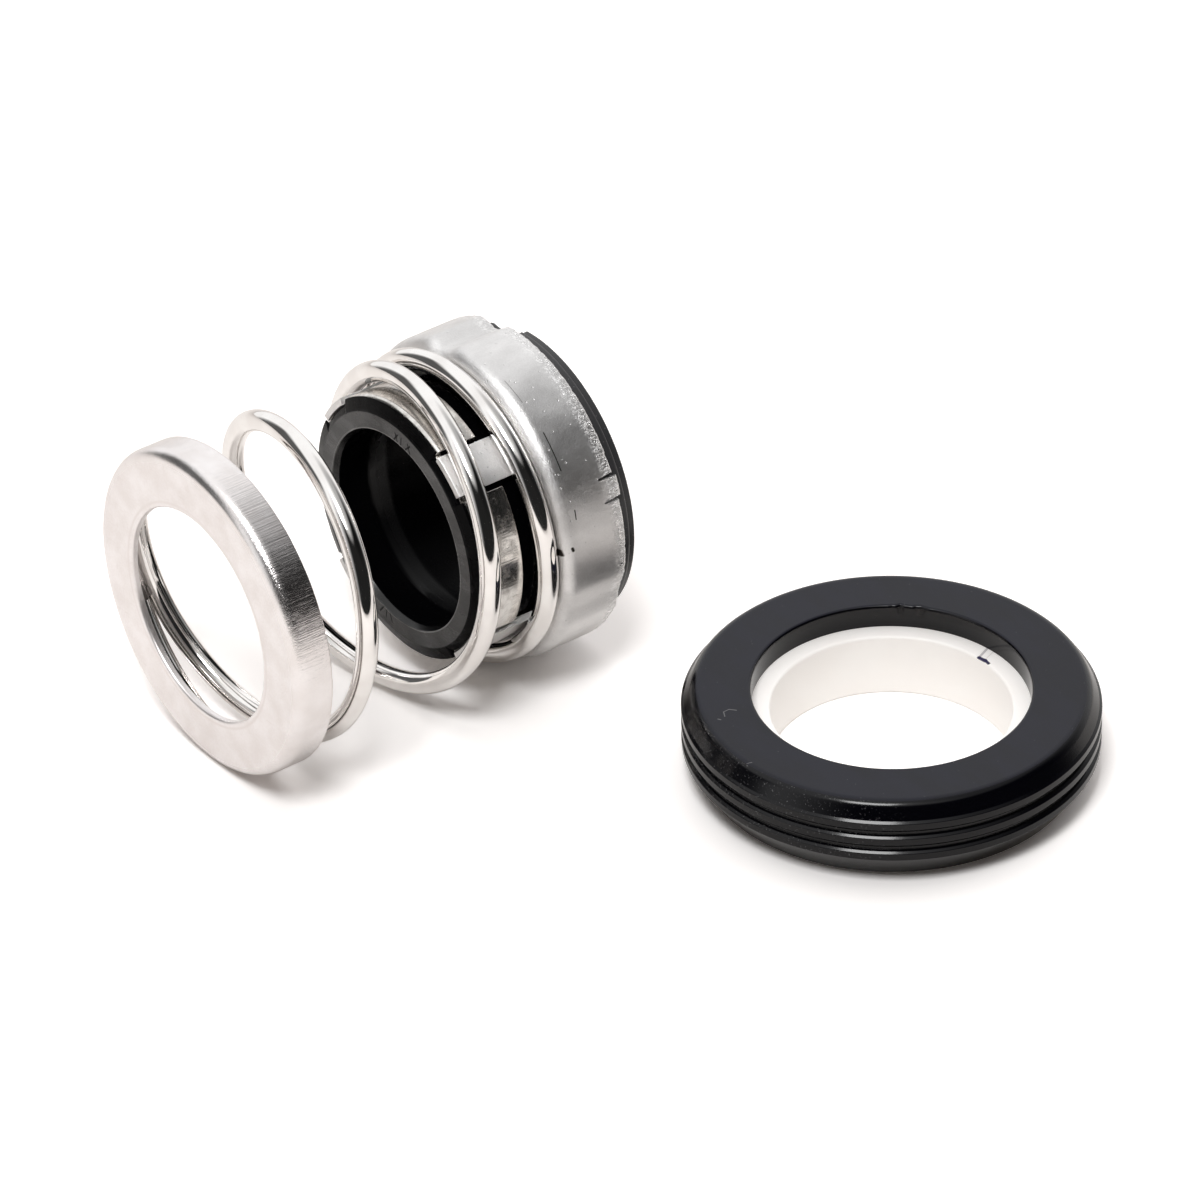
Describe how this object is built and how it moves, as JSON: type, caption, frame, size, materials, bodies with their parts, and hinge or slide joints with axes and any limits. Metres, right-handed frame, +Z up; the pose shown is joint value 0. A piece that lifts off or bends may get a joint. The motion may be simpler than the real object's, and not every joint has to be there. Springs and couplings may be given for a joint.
{
  "type": "mechanical seal",
  "caption": "Rubber bellows pump shaft seal: a spring-loaded rotary head with a carbon ring, and a ceramic seat in a ribbed rubber cup beside it.",
  "frame": {"origin": "middle of the bottom of the box round the head and the seat, on the surface that both lie on", "axes": "+X along the head's axis from the spring holder to the carbon face; +Z up, which is the seat's axis; the seat lies towards -Y"},
  "size_m": [0.0666, 0.0732, 0.0312],
  "materials": {
    "stamped_steel": "pickled stainless with fine drawing marks",
    "shell_steel": "dull grey stainless with rough patches",
    "spring_wire": "bright drawn stainless wire",
    "bellows_rubber": "moulded black nitrile rubber, faintly glossy",
    "cup_rubber": "moulded black rubber with a matte blue-grey bloom on top",
    "carbon": "machined carbon-graphite with fine specks",
    "white_ceramic": "ivory-white fired alumina, ground smooth"
  },
  "bodies": {
    "seal": {"retainer": "shell_steel", "primary_ring": "carbon", "washer": "stamped_steel", "bellows": "bellows_rubber", "spring": "spring_wire", "seat_ring": "white_ceramic", "seat_cup": "cup_rubber"},
    "holder": {"spring_holder": "stamped_steel"},
    "band": {"drive_band": "stamped_steel"}
  },
  "joints": [
    {"name": "spring_compression", "type": "slide", "parent": "seal", "child": "holder", "axis": [1, 0, 0], "range_m": [0, 0.015], "stiffness_N_per_m": 3400, "deforming": ["spring"]},
    {"name": "face_float", "type": "slide", "parent": "seal", "child": "band", "axis": [1, 0, 0], "range_m": [-0.001, 0.001], "stiffness_N_per_m": 2000, "deforming": ["bellows"]}
  ]
}
